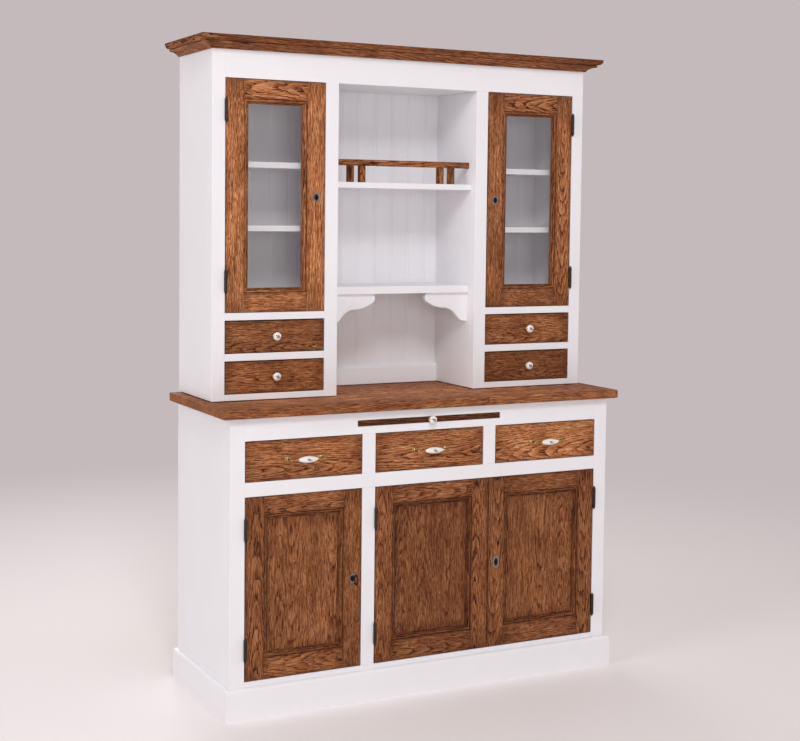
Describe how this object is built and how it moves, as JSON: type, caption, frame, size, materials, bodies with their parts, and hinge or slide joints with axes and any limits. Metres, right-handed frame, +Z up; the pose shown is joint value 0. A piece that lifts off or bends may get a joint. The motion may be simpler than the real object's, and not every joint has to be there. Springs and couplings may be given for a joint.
{
  "type": "step back cupboard",
  "caption": "Tall kitchen cupboard: a deep base with doors, drawers and a pull-out board, and a shallower hutch on it with glazed doors, small drawers and an open niche.",
  "frame": {"origin": "on the floor, under the middle of the whole piece", "axes": "+X to the right as seen from the front, +Y from front to back, +Z up"},
  "size_m": [1.474, 0.523, 2.1],
  "materials": {
    "painted_wood": "white satin paint",
    "oak": "brown stain under satin lacquer",
    "plain_wood": "bare",
    "glass": "clear",
    "brass": "satin",
    "porcelain": "glazed",
    "iron": "black",
    "steel": "dull"
  },
  "bodies": {
    "cupboard": {"hinge_frame_leaves": "iron", "base_sides": "painted_wood", "base_shelves": "painted_wood", "base_partitions": "plain_wood", "base_back_boards": "plain_wood", "base_face_frame": "painted_wood", "plinth": "painted_wood", "worktop": "oak", "drawer_guides": "plain_wood", "hutch_uprights": "painted_wood", "hutch_top_boards": "painted_wood", "tower_floors": "painted_wood", "tower_shelves": "painted_wood", "hutch_pads": "plain_wood", "hutch_back_boards": "painted_wood", "back_rail": "painted_wood", "hutch_face_frame": "painted_wood", "crown_moulding": "oak", "plate_shelf": "painted_wood", "niche_shelf": "painted_wood", "plate_rail": "oak", "shelf_brackets": "painted_wood", "joining_brackets": "steel"},
    "left_door": {"left_door_frame": "oak", "left_door_panel": "oak", "left_door_fittings": "iron"},
    "middle_door": {"middle_door_frame": "oak", "middle_door_panel": "oak", "middle_door_fittings": "iron"},
    "right_door": {"right_door_frame": "oak", "right_door_panel": "oak", "right_door_fittings": "iron"},
    "left_glass_door": {"left_glass_door_frame": "oak", "left_glass_door_pane": "glass", "left_glass_door_fittings": "iron"},
    "right_glass_door": {"right_glass_door_frame": "oak", "right_glass_door_pane": "glass", "right_glass_door_fittings": "iron"},
    "left_door_lock_bolt": {"left_door_lock_bolt": "steel"},
    "right_door_lock_bolt": {"right_door_lock_bolt": "steel"},
    "left_glass_door_lock_bolt": {"left_glass_door_lock_bolt": "steel"},
    "right_glass_door_lock_bolt": {"right_glass_door_lock_bolt": "steel"},
    "key": {"key": "steel"},
    "middle_door_flush_bolt": {"middle_door_flush_bolt": "steel"},
    "left_drawer": {"left_drawer": "oak", "left_handle": "brass"},
    "middle_drawer": {"middle_drawer": "oak", "middle_handle": "brass"},
    "right_drawer": {"right_drawer": "oak", "right_handle": "brass"},
    "left_lower_small_drawer": {"left_lower_small_drawer": "oak", "left_lower_knob": "porcelain"},
    "left_upper_small_drawer": {"left_upper_small_drawer": "oak", "left_upper_knob": "porcelain"},
    "right_lower_small_drawer": {"right_lower_small_drawer": "oak", "right_lower_knob": "porcelain"},
    "right_upper_small_drawer": {"right_upper_small_drawer": "oak", "right_upper_knob": "porcelain"},
    "pull_out_board": {"pull_out_board": "oak", "pull_out_knob": "porcelain"}
  },
  "joints": [
    {"name": "left_door_hinge", "type": "hinge", "parent": "cupboard", "child": "left_door", "pos_m": [-0.641, -0.2283, 0.4015], "axis": [0, 0, -1], "range_deg": [0, 110]},
    {"name": "middle_door_hinge", "type": "hinge", "parent": "cupboard", "child": "middle_door", "pos_m": [-0.19767, -0.2283, 0.4015], "axis": [0, 0, -1], "range_deg": [0, 110]},
    {"name": "right_door_hinge", "type": "hinge", "parent": "cupboard", "child": "right_door", "pos_m": [0.641, -0.2283, 0.4015], "axis": [0, 0, 1], "range_deg": [0, 110]},
    {"name": "left_glass_door_hinge", "type": "hinge", "parent": "cupboard", "child": "left_glass_door", "pos_m": [-0.643, -0.0543, 1.6065], "axis": [0, 0, -1], "range_deg": [0, 110]},
    {"name": "right_glass_door_hinge", "type": "hinge", "parent": "cupboard", "child": "right_glass_door", "pos_m": [0.643, -0.0543, 1.6065], "axis": [0, 0, 1], "range_deg": [0, 110]},
    {"name": "left_door_lock_bolt_throw", "type": "slide", "parent": "left_door", "child": "left_door_lock_bolt", "axis": [1, 0, 0], "range_m": [0, 0.009]},
    {"name": "right_door_lock_bolt_throw", "type": "slide", "parent": "right_door", "child": "right_door_lock_bolt", "axis": [-1, 0, 0], "range_m": [0, 0.009]},
    {"name": "left_glass_door_lock_bolt_throw", "type": "slide", "parent": "left_glass_door", "child": "left_glass_door_lock_bolt", "axis": [1, 0, 0], "range_m": [0, 0.009]},
    {"name": "right_glass_door_lock_bolt_throw", "type": "slide", "parent": "right_glass_door", "child": "right_glass_door_lock_bolt", "axis": [-1, 0, 0], "range_m": [0, 0.009]},
    {"name": "key_turn", "type": "hinge", "parent": "left_door", "child": "key", "pos_m": [-0.27667, -0.2225, 0.4015], "axis": [0, 1, 0], "range_deg": [0, 360]},
    {"name": "middle_door_flush_bolt_slide", "type": "slide", "parent": "middle_door", "child": "middle_door_flush_bolt", "axis": [0, 0, 1], "range_m": [0, 0.014]},
    {"name": "left_drawer_slide", "type": "slide", "parent": "cupboard", "child": "left_drawer", "axis": [0, -1, 0], "range_m": [0, 0.3]},
    {"name": "middle_drawer_slide", "type": "slide", "parent": "cupboard", "child": "middle_drawer", "axis": [0, -1, 0], "range_m": [0, 0.3]},
    {"name": "right_drawer_slide", "type": "slide", "parent": "cupboard", "child": "right_drawer", "axis": [0, -1, 0], "range_m": [0, 0.3]},
    {"name": "left_lower_small_drawer_slide", "type": "slide", "parent": "cupboard", "child": "left_lower_small_drawer", "axis": [0, -1, 0], "range_m": [0, 0.17]},
    {"name": "left_upper_small_drawer_slide", "type": "slide", "parent": "cupboard", "child": "left_upper_small_drawer", "axis": [0, -1, 0], "range_m": [0, 0.17]},
    {"name": "right_lower_small_drawer_slide", "type": "slide", "parent": "cupboard", "child": "right_lower_small_drawer", "axis": [0, -1, 0], "range_m": [0, 0.17]},
    {"name": "right_upper_small_drawer_slide", "type": "slide", "parent": "cupboard", "child": "right_upper_small_drawer", "axis": [0, -1, 0], "range_m": [0, 0.17]},
    {"name": "pull_out_board_slide", "type": "slide", "parent": "cupboard", "child": "pull_out_board", "axis": [0, -1, 0], "range_m": [0, 0.28]}
  ],
  "couplings": [
    {"joint": "left_door_lock_bolt_throw", "follows": "key_turn", "m_per_rad": 0.001432}
  ]
}
